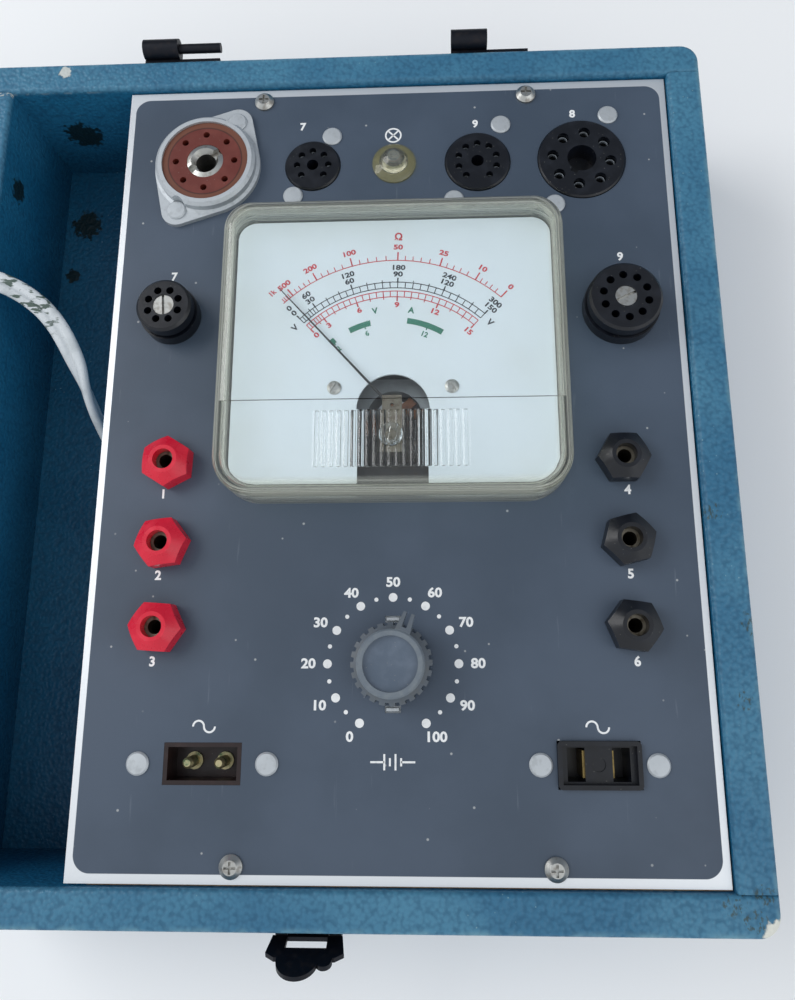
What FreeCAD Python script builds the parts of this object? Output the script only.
"""Portable tube tester: a leatherette case base, lid lifted off, with a meter panel and a lead compartment.

Frame: millimetres, +Z up, origin under the middle of the object on the surface that it stands on.
+X is to the right of the panel and +Y to its hinged rear edge.
"""
import FreeCAD
import Part
import Sketcher
import math
import os
import re

SIZES = {
    # case: boards, covering included, floor and feet
    "panel_width": 184.15, "panel_length": 254.0, "panel_sheet": 1.6, "panel_gap": 0.6,
    "wall": 11.0, "compartment": 41.5, "partition": 6.0, "rim_rise": 2.5, "well_depth": 46.0,
    "floor_board": 6.0, "corner_round": 6.0, "edge_round": 1.5,
    "batten_width": 9.0, "batten_height": 14.0,
    "foot_height": 6.0, "foot_radius": 8.0, "foot_inset": 24.0, "foot_recess": 3.5,
    # fasteners and running clearances
    "fit": 0.05, "hole_gap": 0.2, "seat_gap": 0.3,
    "screw_head": 3.3, "screw_dome": 2.0, "screw_shank": 1.7, "screw_reach": 10.0,
    "screw_x": 45.0, "screw_edge": 4.7,
    "rivet_head": 3.3, "rivet_dome": 0.9, "rivet_shank": 1.5, "rivet_tail": 2.4,
    "rivet_reach": 6.0,
    # row of tube sockets
    "socket_edge": 30.0, "saddle": 1.6, "socket_depth": 9.0, "socket_proud": 0.8, "ear_turn": 60.0,
    "ear_width": 8.0, "ear_round": 5.2,
    "octal_x": 62.8, "octal_radius": 14.5, "octal_ring": 9.6, "octal_hole": 1.9, "octal_key": 4.8,
    "octal_rivets": 38.1,
    "nine_x": 28.1, "nine_radius": 10.9, "nine_ring": 6.6, "nine_hole": 1.15, "nine_key": 2.1,
    "nine_rivets": 32.3,
    "seven_x": -27.6, "seven_radius": 9.3, "seven_ring": 5.3, "seven_hole": 1.15, "seven_key": 1.95,
    "seven_rivets": 25.7, "pin_hole_depth": 7.0,
    "loctal_x": -63.3, "loctal_radius": 14.5, "loctal_ring": 9.9, "loctal_hole": 1.1, "loctal_lock": 6.1,
    "loctal_rivets": 38.1, "loctal_shell": 2.4, "loctal_rise": 5.4, "lock_bore": 3.4, "lock_slot": 2.6,
    "lock_turn": 35.0,
    "contact_width": 2.0, "contact_sheet": 0.6, "contact_tail": 5.0,
    # indicator
    "jewel_dome": 4.6, "jewel_flange": 7.3, "jewel_rise": 5.0, "jewel_rim": 1.2, "jewel_stem": 4.2,
    "lamp_radius": 3.4, "lamp_length": 9.0, "lamp_base": 4.2, "lamp_drop": 8.0,
    # straighteners
    "straight_x": 72.1, "straight_y": 42.6, "straight_rise": 10.0, "straight_groove": 1.0,
    "seven_block": 8.75, "seven_block_ring": 5.1, "seven_block_hole": 1.2,
    "nine_block": 11.3, "nine_block_ring": 7.0, "nine_block_hole": 1.25, "straight_depth": 7.0,
    # jacks
    "jack_x": 69.6, "jack_first": -6.8, "jack_pitch": 25.0, "jack_corner": 7.95, "jack_rise": 8.0,
    "jack_face": 4.3,
    "jack_mouth": 3.1, "jack_stem": 4.7, "jack_depth": 14.0, "jack_bore": 2.1, "jack_sleeve_top": 4.5,
    "nut_corner": 7.2, "nut_height": 3.0,
    # compensator
    "dial_y": -67.4, "knob_radius": 11.6, "knob_root": 10.7, "knob_skirt": 9.0, "knob_rise": 14.0,
    "knob_ring": 9.5,
    "knob_dish": 7.7, "knob_dish_depth": 1.2, "knob_lift": 1.4, "knob_setting": 69.0, "fork_reach": 14.8,
    "fork_prong": 0.9, "fork_gap": 1.4, "shaft_radius": 3.0, "shaft_length": 20.0,
    "pot_radius": 15.0, "pot_depth": 13.0, "pot_bush": 4.6, "tab_offset": 12.8, "tab_width": 3.6,
    "tab_sheet": 0.8,
    "tab_rise": 1.1,
    # power fittings
    "inlet_x": -54.7, "power_edge": 31.8, "inlet_width": 22.5, "inlet_height": 11.5, "inlet_depth": 14.0,
    "inlet_well": 9.0, "inlet_wall": 1.2, "inlet_pitch": 9.2, "inlet_pin": 1.6, "inlet_rivets": 37.4,
    "outlet_x": 58.2, "outlet_width": 23.5, "outlet_height": 13.0, "outlet_rise": 1.2, "outlet_depth": 15.0,
    "outlet_wall": 1.3, "outlet_well": 2.4, "outlet_pitch": 12.7, "outlet_slot": 5.0, "outlet_blade": 9.2,
    "outlet_slot_depth": 11.0, "outlet_rivets": 32.8,
    # meter
    "meter_edge": 98.5, "meter_width": 107.2, "meter_length": 96.0, "meter_rise": 14.5, "cover_wall": 2.2,
    "cover_front_round": 13.0, "cover_rear_round": 9.0, "cover_edge": 4.0, "cover_step": 0.8,
    "step_drop": 19.3,
    "flute_count": 21, "flute_pitch": 2.2, "flute_width": 1.1, "flute_deep": 0.5, "flute_long": 17.0,
    "flute_drop": 31.3,
    "base_plate": 2.4, "base_inset": 0.3, "housing_width": 58.0, "housing_front": 24.0,
    "housing_rear": 30.0,
    "housing_depth": 24.0, "housing_wall": 2.0, "pivot_drop": 19.5, "dial_sheet": 0.8, "dial_margin": 0.8,
    "notch_radius": 11.4, "dial_screw_x": 18.3, "dial_screw_rise": 7.2, "dial_screw_head": 2.2,
    "magnet_width": 30.0, "magnet_front": 21.0, "magnet_rear": 13.0, "magnet_height": 12.0,
    "magnet_seat": 4.0,
    "gap_radius": 9.0, "core_radius": 6.3, "core_shy": 0.5, "coil_radius": 8.2, "coil_side": 1.1,
    "coil_width": 3.0, "core_web": 3.0,
    "coil_over": 1.9, "staff_radius": 0.5, "bridge_sheet": 1.2, "bridge_width": 6.0, "bridge_post": 13.5,
    "pointer_lift": 1.6, "pointer_sheet": 0.6, "pointer_length": 54.0, "pointer_tail": 6.0,
    "pointer_half": 0.4, "pointer_tip": 0.11, "pointer_weight": 0.9,
    "pointer_rest": 132.0, "bridge_lift": 1.4, "zero_drop": 30.3, "zero_head": 3.6, "zero_rise": 1.5,
    "zero_stem": 1.8,
    "terminal_x": 15.0, "terminal_radius": 2.0, "terminal_length": 10.0,
    # battery and resistor board, below the panel
    "cell_radius": 7.0, "cell_length": 50.0, "clip_sheet": 1.0, "cell_gap": 20.0,
    "board_length": 62.0, "board_width": 18.0, "board_sheet": 1.6, "board_lift": 5.0, "board_y": 66.0,
    "resistor_radius": 2.2, "resistor_length": 13.0, "resistor_pitch": 14.0,
    # hinges and latch
    "hinge_x": 53.75, "hinge_width": 26.5, "strap": 1.2, "hinge_height": 20.0, "hinge_standoff": 4.5,
    "barrel_radius": 3.3, "barrel_length": 12.4, "pin_radius": 1.6, "pin_reach": 14.6,
    "latch_x": -4.0, "latch_drop": 16.5, "latch_standoff": 3.5, "latch_width": 24.0,
    "latch_height": 16.0, "hasp_sheet": 1.5, "hasp_lean": 27.0, "hasp_length": 17.0, "hasp_width": 22.0,
    "hasp_window": 11.6, "hasp_slot": 3.8, "hasp_clear": 2.8, "tongue_radius": 5.8, "tongue_shift": -1.8,
    "latch_pin": 1.0, "latch_eye": 2.0,
    # line cord
    "cord_width": 6.6, "connector_long": 34.0, "connector_wide": 19.4, "connector_thick": 9.6,
    "plug_long": 30.0, "plug_tail": 28.0,
    "blade_long": 16.0, "blade_wide": 6.3, "blade_thick": 1.5, "blade_pitch": 12.7,
    "coil_outer": 52.0, "coil_pitch": 8.4, "layer_pitch": 7.4,
}

doc = FreeCAD.newDocument("tube_tester")
dims = doc.addObject("Spreadsheet::Sheet", "dims")
for row, (alias, size) in enumerate(SIZES.items(), start=1):
    dims.set(f"A{row}", alias)
    dims.set(f"B{row}", str(size))
    dims.setAlias(f"B{row}", alias)
doc.recompute()

NODES = []


def linked(text):
    """Put the sheet's name before each alias in an expression."""
    return re.sub(r"[a-z_]+", lambda word: f"dims.{word.group()}"
                  if word.group() in SIZES else word.group(), text)


def bind(item, prop, text):
    """Tie one property to an expression of the sheet's values."""
    item.setExpression(prop, linked(text))


def size_of(alias):
    return float(dims.get(alias))


def place(item, spot, turn=None):
    """Bind an object's position, and its turn about Z in degrees."""
    for axis, text in zip("xyz", spot):
        bind(item, f"Placement.Base.{axis}", text)
    if turn is not None:
        bind(item, "Placement.Rotation.Angle", turn)


def keep(item, label):
    """Name a finished sub-part and list it for export."""
    item.Label = label
    NODES.append(item)
    return item


class Piece:
    """A PartDesign body whose sketches and features are bound to the sheet."""

    def __init__(self, name):
        self.body = doc.addObject("PartDesign::Body", name)

    def origin(self, role):
        return next(item for item in self.body.Origin.OriginFeatures if item.Role == role)

    def sketch(self, plane, offset):
        sketch = self.body.newObject("Sketcher::SketchObject", "Sketch")
        sketch.AttachmentSupport = [(self.origin(plane), "")]
        sketch.MapMode = "FlatFace"
        bind(sketch, "AttachmentOffset.Base.z", offset)
        return sketch

    def locate(self, sketch, geometry, point, spot):
        """Fix one point of the sketch by its two distances from the origin."""
        for kind, text in zip(("DistanceX", "DistanceY"), spot):
            index = sketch.addConstraint(Sketcher.Constraint(kind, -1, 1, geometry, point, 1.0))
            bind(sketch, f"Constraints[{index}]", text)

    def outlines(self, loops, plane="XY_Plane", offset="0"):
        """Closed polygons, each a list of (x, y) expressions."""
        sketch = self.sketch(plane, offset)
        for corners in loops:
            first = sketch.GeometryCount
            count = len(corners)
            ring = [FreeCAD.Vector(math.cos(step * math.tau / count), math.sin(step * math.tau / count), 0)
                    for step in range(count)]
            for step in range(count):
                sketch.addGeometry(Part.LineSegment(ring[step], ring[(step + 1) % count]))
            for step in range(count):
                following = first + (step + 1) % count
                sketch.addConstraint(Sketcher.Constraint("Coincident", first + step, 2, following, 1))
            for step, corner in enumerate(corners):
                self.locate(sketch, first + step, 1, corner)
        return sketch

    def discs(self, discs, plane="XY_Plane", offset="0"):
        """Circles, each an (x, y, radius) of expressions."""
        sketch = self.sketch(plane, offset)
        for x, y, radius in discs:
            circle = sketch.addGeometry(Part.Circle(FreeCAD.Vector(0, 0, 0), FreeCAD.Vector(0, 0, 1), 1.0))
            index = sketch.addConstraint(Sketcher.Constraint("Radius", circle, 1.0))
            bind(sketch, f"Constraints[{index}]", radius)
            self.locate(sketch, circle, 3, (x, y))
        return sketch

    def feature(self, kind, sketch):
        doc.recompute()
        feature = self.body.newObject(f"PartDesign::{kind}", kind)
        feature.Profile = sketch
        return feature

    def pad(self, sketch, length, backwards=False):
        pad = self.feature("Pad", sketch)
        bind(pad, "Length", length)
        pad.Reversed = backwards
        doc.recompute()
        return pad

    def pocket(self, sketch, length, backwards=False):
        before = self.body.Shape.Volume
        pocket = self.feature("Pocket", sketch)
        bind(pocket, "Length", length)
        pocket.Reversed = backwards
        doc.recompute()
        if self.body.Shape.Volume >= before:
            raise RuntimeError(f"{self.body.Name}: a pocket removes nothing")
        return pocket

    def revolve(self, corners, cut=False):
        """Turn an outline of (radius, height) expressions about Z."""
        sketch = self.outlines([corners], "XZ_Plane")
        turned = self.feature("Groove" if cut else "Revolution", sketch)
        turned.ReferenceAxis = (sketch, ["V_Axis"])
        turned.Angle = 360
        doc.recompute()
        return turned

    def ring(self, feature, count, angle="360"):
        """Repeat a feature round Z."""
        pattern = self.body.newObject("PartDesign::PolarPattern", "Ring")
        pattern.Originals = [feature]
        pattern.Axis = (self.origin("Z_Axis"), [""])
        bind(pattern, "Angle", angle)
        pattern.Occurrences = count
        self.body.Tip = pattern
        doc.recompute()
        return pattern

    def soften(self, radius, chosen, kind="Fillet"):
        """Round or bevel the edges that the test picks."""
        doc.recompute()
        edges = [f"Edge{index}" for index, edge in enumerate(self.body.Shape.Edges, start=1) if chosen(edge)]
        base = self.body.Tip
        softened = self.body.newObject(f"PartDesign::{kind}", kind)
        softened.Base = (base, edges)
        bind(softened, "Radius" if kind == "Fillet" else "Size", radius)
        self.body.Tip = softened
        doc.recompute()
        return softened


def corners_of(width, length, x="0", y="0"):
    """The four corners of a rectangle round a centre."""
    return [(f"{x} {sx} ({width}) / 2", f"{y} {sy} ({length}) / 2")
            for sx, sy in (("-", "-"), ("+", "-"), ("+", "+"), ("-", "+"))]


def polygon(radius, count, turn=0.0):
    """A regular polygon's corners."""
    angles = [turn + step * 360.0 / count for step in range(count)]
    return [(f"({radius}) * cos({angle} deg)", f"({radius}) * sin({angle} deg)") for angle in angles]


def upright(edge):
    """True of a straight vertical edge."""
    ends = edge.Vertexes
    return len(ends) == 2 and abs(ends[0].X - ends[1].X) < 1e-6 and abs(ends[0].Y - ends[1].Y) < 1e-6


def box(name, low, span):
    """A Part::Box by its low corner and its three lengths."""
    block = doc.addObject("Part::Box", name)
    for prop, text in zip(("Length", "Width", "Height"), span):
        bind(block, prop, text)
    place(block, low)
    return block


def rod(name, foot, radius, length, along="z"):
    """A Part::Cylinder by the centre of its first end, along +X, +Y or +Z."""
    cylinder = doc.addObject("Part::Cylinder", name)
    bind(cylinder, "Radius", radius)
    bind(cylinder, "Height", length)
    axis, angle = {"x": ((0, 1, 0), 90), "y": ((1, 0, 0), -90), "z": ((0, 0, 1), 0)}[along]
    cylinder.Placement.Rotation = FreeCAD.Rotation(FreeCAD.Vector(axis), angle)
    place(cylinder, foot)
    return cylinder


def joined(name, items):
    fusion = doc.addObject("Part::MultiFuse", name)
    fusion.Shapes = items
    return fusion


def less(name, base, tools):
    """The base with one or more tools cut away."""
    cut = doc.addObject("Part::Cut", name)
    cut.Base = base
    cut.Tool = tools[0] if len(tools) == 1 else joined(f"{name}_tools", tools)
    return cut


def grouped(label, items):
    """Separate solids in one node."""
    group = doc.addObject("Part::Compound", label)
    group.Links = items
    return keep(group, label)


def copies(label, body, spots):
    """One body repeated at several (x, y, z, turn) places, as links."""
    links = []
    for spot in spots:
        link = doc.addObject("App::Link", f"{label}_copy")
        link.LinkedObject = body
        place(link, spot[:3], spot[3] if len(spot) > 3 else None)
        links.append(link)
    return links


# Shared places, as expressions of the sheet's values.
CASE_WIDTH = "(2 * wall + compartment + panel_width + 2 * panel_gap)"
CASE_LENGTH = "(2 * wall + panel_length + 2 * panel_gap)"
REAR_REACH = "(hinge_standoff + barrel_radius)"
FRONT_REACH = ("(latch_standoff + hasp_length * sin(hasp_lean * 1 deg)"
               " + hasp_sheet / 2 * cos(hasp_lean * 1 deg))")
CASE_Y = f"(({FRONT_REACH} - {REAR_REACH}) / 2)"
FRONT_Y = f"({CASE_Y} - {CASE_LENGTH} / 2)"
REAR_Y = f"({CASE_Y} + {CASE_LENGTH} / 2)"
FLOOR_Z = "(foot_height + floor_board)"
FACE_Z = f"({FLOOR_Z} + well_depth)"
RIM_Z = f"({FACE_Z} + rim_rise)"
UNDER_Z = f"({FACE_Z} - panel_sheet)"
PANEL_X = f"({CASE_WIDTH} / 2 - wall - panel_gap - panel_width / 2)"
PANEL_LEFT = f"({PANEL_X} - panel_width / 2)"
METER_Y = "(panel_length / 2 - meter_edge)"
PIVOT_Y = f"({METER_Y} - pivot_drop)"
HOUSING_LOW = f"({PIVOT_Y} - housing_front)"
HOUSING_LONG = "(housing_front + housing_rear)"


def on_panel(x, y, z="0"):
    """A place given from the panel's middle, z from its face."""
    return (f"{PANEL_X} + ({x})", f"{CASE_Y} + ({y})", f"{FACE_Z} + ({z})")


SOCKET_ROW = "(panel_length / 2 - socket_edge)"
POWER_ROW = "-(panel_length / 2 - power_edge)"


def ear_spots(x, spread):
    """The two rivets of a socket, on a slanted line through its middle."""
    return [(f"{x} {sign} {spread} / 2 * cos(ear_turn * 1 deg)",
             f"{SOCKET_ROW} {sign} {spread} / 2 * sin(ear_turn * 1 deg)") for sign in "-+"]


RIVETS = [spot for name in ("octal", "nine", "seven", "loctal")
          for spot in ear_spots(f"{name}_x", f"{name}_rivets")]
RIVETS += [(f"inlet_x {sign} inlet_rivets / 2", POWER_ROW) for sign in "-+"]
RIVETS += [(f"outlet_x {sign} outlet_rivets / 2", POWER_ROW) for sign in "-+"]
SCREWS = [(f"{sx}screw_x", f"{sy}(panel_length / 2 - screw_edge)") for sx in "-+" for sy in "-+"]
JACK_ROWS = [f"jack_first - {row} * jack_pitch" for row in range(3)]
FEET = [(f"{sx}({CASE_WIDTH} / 2 - foot_inset)", f"{CASE_Y} {sy} ({CASE_LENGTH} / 2 - foot_inset)")
        for sx in "-+" for sy in "-+"]
HINGES = ("-hinge_x", "hinge_x")
HINGE_RIVETS = [(f"{side} {sign} hinge_width / 4", f"{RIM_Z} - hinge_height * 0.62") for side in HINGES
                for sign in "-+"]
LATCH_RIVETS = [(f"latch_x {sign} latch_width * 0.36", f"{RIM_Z} - latch_drop - latch_height * 0.28")
                for sign in "-+"]


# Case boards: front and rear run full width with rounded outer corners, the sides stand between them.
def end_board(label, low_y, outer_sign, holes, hole_gap_sign):
    board = Piece(label)
    board.pad(board.outlines([corners_of(CASE_WIDTH, "wall")]), "well_depth + rim_rise")
    board.soften("corner_round", lambda edge: upright(edge) and edge.Vertexes[0].Y * outer_sign > 0)
    top = size_of("well_depth") + size_of("rim_rise")
    board.soften("edge_round", lambda edge: all(abs(end.Z - top) < 1e-6 for end in edge.Vertexes)
                 and abs(edge.Vertexes[0].Y - edge.Vertexes[1].Y) < 1e-6
                 and abs(edge.Vertexes[0].X - edge.Vertexes[1].X) > size_of("compartment"))
    drilled = [(x, f"{z} - {FLOOR_Z}", "rivet_shank + fit") for x, z in holes]
    face = board.discs(drilled, "XZ_Plane", f"{hole_gap_sign} wall / 2")
    board.pocket(face, "rivet_reach", backwards=outer_sign > 0)
    place(board.body, ("0", f"{low_y} + wall / 2", FLOOR_Z))
    return keep(board.body, label)


def side_board(label, x):
    board = Piece(label)
    board.pad(board.outlines([corners_of("wall", f"{CASE_LENGTH} - 2 * wall")]), "well_depth + rim_rise")
    top = size_of("well_depth") + size_of("rim_rise")
    board.soften("edge_round", lambda edge: all(abs(end.Z - top) < 1e-6 for end in edge.Vertexes)
                 and abs(edge.Vertexes[0].X - edge.Vertexes[1].X) < 1e-6)
    place(board.body, (x, CASE_Y, FLOOR_Z))
    return keep(board.body, label)


end_board("case_front_board", FRONT_Y, -1, LATCH_RIVETS, "")
end_board("case_rear_board", f"{REAR_Y} - wall", 1, HINGE_RIVETS, "-")
side_board("case_left_board", f"-{CASE_WIDTH} / 2 + wall / 2")
side_board("case_right_board", f"{CASE_WIDTH} / 2 - wall / 2")

# Floor board under all four walls, with blind holes for the foot screws.
floor = Piece("case_floor")
floor.pad(floor.outlines([corners_of(CASE_WIDTH, CASE_LENGTH)]), "floor_board")
floor.soften("corner_round", upright)
floor.pocket(floor.discs([(x, f"{y} - {CASE_Y}", "screw_shank + fit") for x, y in FEET]), "floor_board - 1",
             True)
place(floor.body, ("0", CASE_Y, "foot_height"))
keep(floor.body, "case_floor")

# Partition under the panel's left edge; battens along the panel's front and rear edges take its screws.
keep(box("partition_board", (PANEL_LEFT, f"{FRONT_Y} + wall", FLOOR_Z),
         ("partition", f"{CASE_LENGTH} - 2 * wall", "well_depth - panel_sheet")), "compartment_partition")


def batten(name, low_y, screws):
    low = (f"{PANEL_LEFT} + partition", low_y, f"{UNDER_Z} - batten_height")
    bar = box(f"{name}_bar", low, ("panel_width + panel_gap - partition", "batten_width", "batten_height"))
    holes = [rod(f"{name}_hole", (f"{PANEL_X} + {x}", f"{CASE_Y} + {y}", f"{UNDER_Z} - screw_reach - fit"),
                 "screw_shank + fit", "screw_reach + 1") for x, y in screws]
    return less(name, bar, holes)


grouped("panel_battens", [batten("front_batten", f"{FRONT_Y} + wall",
                                 [spot for spot in SCREWS if spot[1].startswith("-")]),
                          batten("rear_batten", f"{REAR_Y} - wall - batten_width",
                                 [spot for spot in SCREWS if spot[1].startswith("+")])])

# Rubber feet, each held by a screw in a recess.
foot = Piece("foot")
foot.revolve([("screw_shank + fit", "foot_height"), ("screw_shank + fit", "foot_recess"),
              ("screw_head + 1", "foot_recess"), ("screw_head + 1", "0"), ("foot_radius - 1.5", "0"),
              ("foot_radius", "foot_height")])
grouped("rubber_feet", copies("rubber_feet", foot.body, [(x, y, "0") for x, y in FEET]))
foot_screw = Piece("foot_screw")
foot_screw.revolve([("0", "foot_recess - screw_dome"), ("screw_head", "foot_recess - screw_dome"),
                    ("screw_head", "foot_recess"), ("screw_shank", "foot_recess"),
                    ("screw_shank", f"{FLOOR_Z} - 1.2"), ("0", f"{FLOOR_Z} - 1.2")])
grouped("foot_screws", copies("foot_screws", foot_screw.body, [(x, y, "0") for x, y in FEET]))

# Panel: one sheet with every cut-out, its face at the origin of the body.
panel = Piece("instrument_panel")
panel.pad(panel.outlines([corners_of("panel_width", "panel_length")]), "panel_sheet", True)
round_cuts = [(f"{name}_x", SOCKET_ROW, f"{name}_radius + hole_gap")
              for name in ("octal", "nine", "seven", "loctal")]
round_cuts += [(x, y, "rivet_shank + fit") for x, y in RIVETS]
round_cuts += [(x, y, "screw_shank + hole_gap") for x, y in SCREWS]
round_cuts += [(f"{sign}straight_x", "straight_y", "screw_shank + fit") for sign in "-+"]
round_cuts += [(f"{sign}jack_x", y, "jack_stem + fit") for sign in "-+" for y in JACK_ROWS]
round_cuts += [("0", SOCKET_ROW, "jewel_stem + fit"), ("0", "dial_y", "pot_bush + fit")]
panel.pocket(panel.discs(round_cuts), "panel_sheet")
tab_slots = [corners_of("tab_width + 1", "tab_sheet + 1.2", "0", f"dial_y {sign} tab_offset")
             for sign in "-+"]
panel.pocket(panel.outlines([corners_of("inlet_width + 2 * fit", "inlet_height + 2 * fit", "inlet_x",
                                        POWER_ROW),
                             corners_of("outlet_width + 2 * fit", "outlet_height + 2 * fit", "outlet_x",
                                        POWER_ROW),
                             corners_of("housing_width + hole_gap", f"{HOUSING_LONG} + hole_gap", "0",
                                        f"{HOUSING_LOW} + {HOUSING_LONG} / 2"), *tab_slots]), "panel_sheet")
place(panel.body, on_panel("0", "0"))
keep(panel.body, "instrument_panel")

screw = Piece("panel_screw")
screw.revolve([("0", "screw_dome"), ("screw_head * 0.6", "screw_dome"), ("screw_head", "screw_dome * 0.35"),
               ("screw_head", "0"), ("screw_shank", "0"), ("screw_shank", "-screw_reach"),
               ("0", "-screw_reach")])
cross = screw.outlines([corners_of("screw_head", "0.7"), ], offset="screw_dome")
screw.ring(screw.pocket(cross, "screw_dome * 0.5"), 2, "90")
grouped("panel_screws", copies("panel_screws", screw.body, [on_panel(x, y) for x, y in SCREWS]))

# Flat-headed rivets through the panel and what it carries.
rivet = Piece("rivet")
rivet.revolve([("0", "rivet_dome"), ("rivet_head * 0.86", "rivet_dome * 0.9"),
               ("rivet_head", "rivet_dome * 0.4"), ("rivet_head", "0"), ("rivet_shank", "0"),
               ("rivet_shank", "-panel_sheet - saddle"), ("rivet_tail", "-panel_sheet - saddle"),
               ("rivet_tail", "-panel_sheet - saddle - 0.8"), ("0", "-panel_sheet - saddle - 0.8")])
loctal_rivets = ear_spots("loctal_x", "loctal_rivets")
grouped("panel_rivets", copies("panel_rivets", rivet.body, [
    on_panel(x, y, "saddle" if (x, y) in loctal_rivets else "0") for x, y in RIVETS]))


# Moulded tube sockets: the face fills its hole, a saddle with two ears lies under the panel.
def tube_socket(label, name, pins, places):
    socket = Piece(label)
    socket.revolve([("0", "socket_proud"), (f"{name}_radius - 0.5", "socket_proud"),
                    (f"{name}_radius", "socket_proud - 0.5"), (f"{name}_radius", "-panel_sheet"),
                    (f"{name}_radius + 1.5", "-panel_sheet"),
                    (f"{name}_radius + 1.5", "-panel_sheet - saddle"),
                    (f"{name}_radius - 1", "-panel_sheet - saddle"),
                    (f"{name}_radius - 1", "-socket_depth"), ("0", "-socket_depth")])
    socket.pad(socket.outlines([corners_of(f"{name}_rivets + ear_width", "ear_width")],
                               offset="-panel_sheet"), "saddle", True)
    first = socket.discs([(f"{name}_ring * cos({places[0]} deg)", f"{name}_ring * sin({places[0]} deg)",
                           f"{name}_hole")], offset="socket_proud")
    socket.ring(socket.pocket(first, "pin_hole_depth"), pins, places[1])
    socket.pocket(socket.discs([("0", "0", f"{name}_key")], offset="socket_proud"), "pin_hole_depth")
    ears = [(f"{sign}{name}_rivets / 2", "0", "rivet_shank + fit") for sign in "-+"]
    socket.pocket(socket.discs(ears, offset="-panel_sheet"), "saddle")
    place(socket.body, on_panel(f"{name}_x", SOCKET_ROW), "ear_turn")
    return socket


octal = tube_socket("octal_socket", "octal", 8, (-37.5, "360"))
keyway = octal.outlines([[("octal_key * 0.7", "-1.2"), ("octal_key + 1.2", "-1.2"),
                          ("octal_key + 1.2", "1.2"), ("octal_key * 0.7", "1.2")]], offset="socket_proud")
octal.pocket(keyway, "pin_hole_depth")
keep(octal.body, "octal_socket")
keep(tube_socket("nine_pin_socket", "nine", 9, (-114, "288")).body, "nine_pin_socket")
keep(tube_socket("seven_pin_socket", "seven", 7, (-105, "270")).body, "seven_pin_socket")

# Loctal socket: an eared aluminium ring on the panel holds a moulded wafer with a lock in its middle.
shell = Piece("loctal_shell")
SHELL_FOOT = "(loctal_radius + loctal_shell + 1)"
EAR_X = "loctal_rivets / 2"
LEAN_COS = f"(({SHELL_FOOT} - ear_round) / ({EAR_X}))"
LEAN_SIN = f"sqrt(1 - {LEAN_COS} ^ 2)"
flank = [(f"{SHELL_FOOT} * {LEAN_COS}", f"{SHELL_FOOT} * {LEAN_SIN}"),
         (f"{EAR_X} + ear_round * {LEAN_COS}", f"ear_round * {LEAN_SIN}")]
eye = flank + [(x, f"-{y}") for x, y in flank[::-1]]
shell.pad(shell.outlines([eye + [(f"-({x})", y) for x, y in eye[::-1]]]), "saddle")
for sign in "-+":
    shell.pad(shell.discs([(f"{sign}{EAR_X}", "0", "ear_round")]), "saddle")
shell.revolve([("loctal_radius + fit", "0"), ("loctal_radius + loctal_shell + 1", "0"),
               ("loctal_radius + loctal_shell + 1", "saddle"),
               ("loctal_radius + loctal_shell", "saddle + 0.6"),
               ("loctal_radius + loctal_shell", "loctal_rise - 1"),
               ("loctal_radius + loctal_shell - 1", "loctal_rise"), ("loctal_radius + fit", "loctal_rise")])
shell.pocket(shell.discs([("0", "0", "loctal_radius + fit")], offset="saddle"), "saddle")
shell.pocket(shell.discs([(f"{sign}loctal_rivets / 2", "0", "rivet_shank + fit") for sign in "-+"],
                         offset="saddle"), "saddle")
shell.pocket(shell.discs([(f"{sign}loctal_rivets / 2", "0", "rivet_head + fit") for sign in "-+"],
                         offset="loctal_rise"), "loctal_rise - saddle")
place(shell.body, on_panel("loctal_x", SOCKET_ROW), "ear_turn")
keep(shell.body, "loctal_shell")

wafer = Piece("loctal_wafer")
wafer.revolve([("loctal_lock + fit", "loctal_rise - 0.8"), ("loctal_radius", "loctal_rise - 0.8"),
               ("loctal_radius", "-socket_depth"), ("loctal_lock + fit", "-socket_depth")])
wafer_hole = wafer.discs([("loctal_ring", "0", "loctal_hole")], offset="loctal_rise - 0.8")
wafer.ring(wafer.pocket(wafer_hole, "pin_hole_depth"), 8)
place(wafer.body, on_panel("loctal_x", SOCKET_ROW))
keep(wafer.body, "loctal_wafer")

lock = Piece("loctal_lock_spring")
lock.revolve([("lock_bore + 1.2", "loctal_rise - 0.4"), ("loctal_lock", "loctal_rise - 0.9"),
              ("loctal_lock", "-socket_depth"), ("lock_bore", "-socket_depth"),
              ("lock_bore", "loctal_rise - 2.2")])
lock.pocket(lock.outlines([corners_of("3 * loctal_lock", "lock_slot")], offset="loctal_rise"), "lock_slot")
place(lock.body, on_panel("loctal_x", SOCKET_ROW), "lock_turn")
keep(lock.body, "loctal_lock_spring")

# Contact tails under the sockets, one below each pin hole.
tails = []
for name, first, step, count in (("octal", 22.5, 45, 8), ("nine", -54, 36, 9), ("seven", -45, 45, 7),
                                 ("loctal", 0, 45, 8)):
    tail = Piece(f"{name}_tail")
    tail.pad(tail.outlines([corners_of("contact_sheet", "contact_width", f"{name}_ring")]), "contact_tail",
             True)
    tails += copies(f"{name}_tails", tail.body, [(*on_panel(f"{name}_x", SOCKET_ROW, "-socket_depth"),
                                                  f"{first + step * index}") for index in range(count)])
grouped("socket_contacts", tails)

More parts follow.
